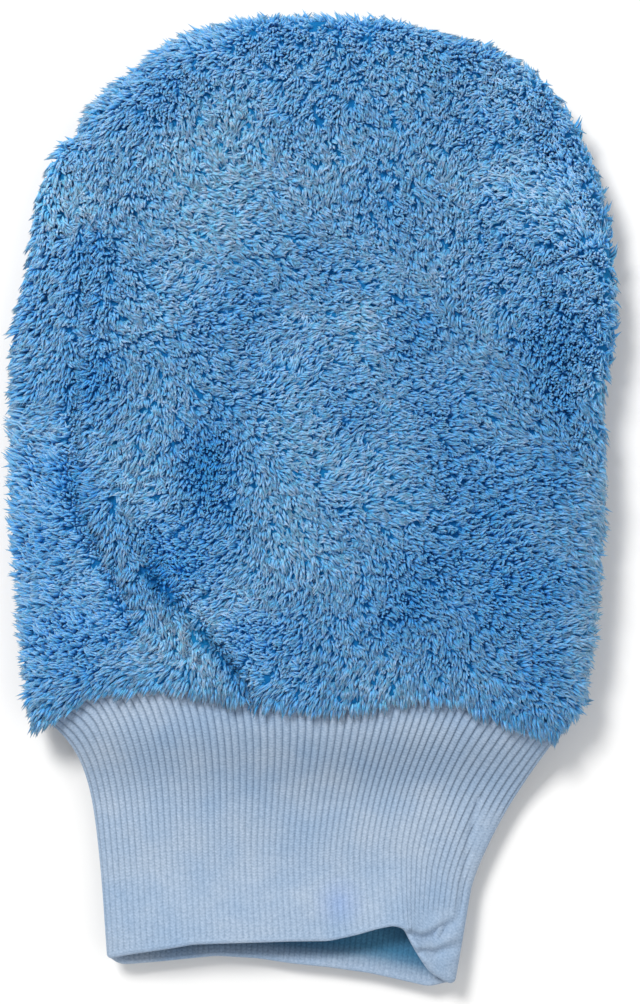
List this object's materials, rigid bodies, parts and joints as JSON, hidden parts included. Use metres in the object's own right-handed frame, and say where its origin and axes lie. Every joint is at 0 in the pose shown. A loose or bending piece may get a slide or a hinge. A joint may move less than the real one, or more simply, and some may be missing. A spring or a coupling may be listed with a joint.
{
  "type": "wash mitt",
  "caption": "Soft plush wash mitt with a rounded fingertip end, a lined hand pocket and a narrow ribbed elastic cuff, lying flat.",
  "frame": {"origin": "middle of the footprint, on the surface that the back panel lies on", "axes": "+Y along the mitt towards the fingertips, -Y out of the cuff's mouth, +Z out of the front panel, +X to the right seen from the front"},
  "size_m": [0.1716, 0.27, 0.0313],
  "materials": {
    "plush_pile": "deep soft plush pile of fine split microfibre tufts, matte with a faint sheen",
    "panel_knit": "flat knitted base that the pile stands on, matte",
    "lining_knit": "thin smooth tricot lining, matte",
    "rib_knit": "fine one-by-one rib knit with elastic, matte",
    "seam_thread": "overlock thread, matte"
  },
  "bodies": {
    "mitt": {"front_pile": "plush_pile", "front_panel": "panel_knit", "front_lining": "lining_knit", "back_pile": "plush_pile", "back_panel": "panel_knit", "back_lining": "lining_knit", "side_seam_overlock": "seam_thread", "cuff_seam_overlock": "seam_thread", "cuff_root": "rib_knit"},
    "cuff": {"cuff_band": "rib_knit", "cuff_side_seam": "seam_thread"}
  },
  "joints": [
    {"name": "cuff_bend", "type": "hinge", "parent": "mitt", "child": "cuff", "pos_m": [0, -0.083, 0.0086], "axis": [-1, 0, 0], "range_deg": [-45, 45]}
  ]
}
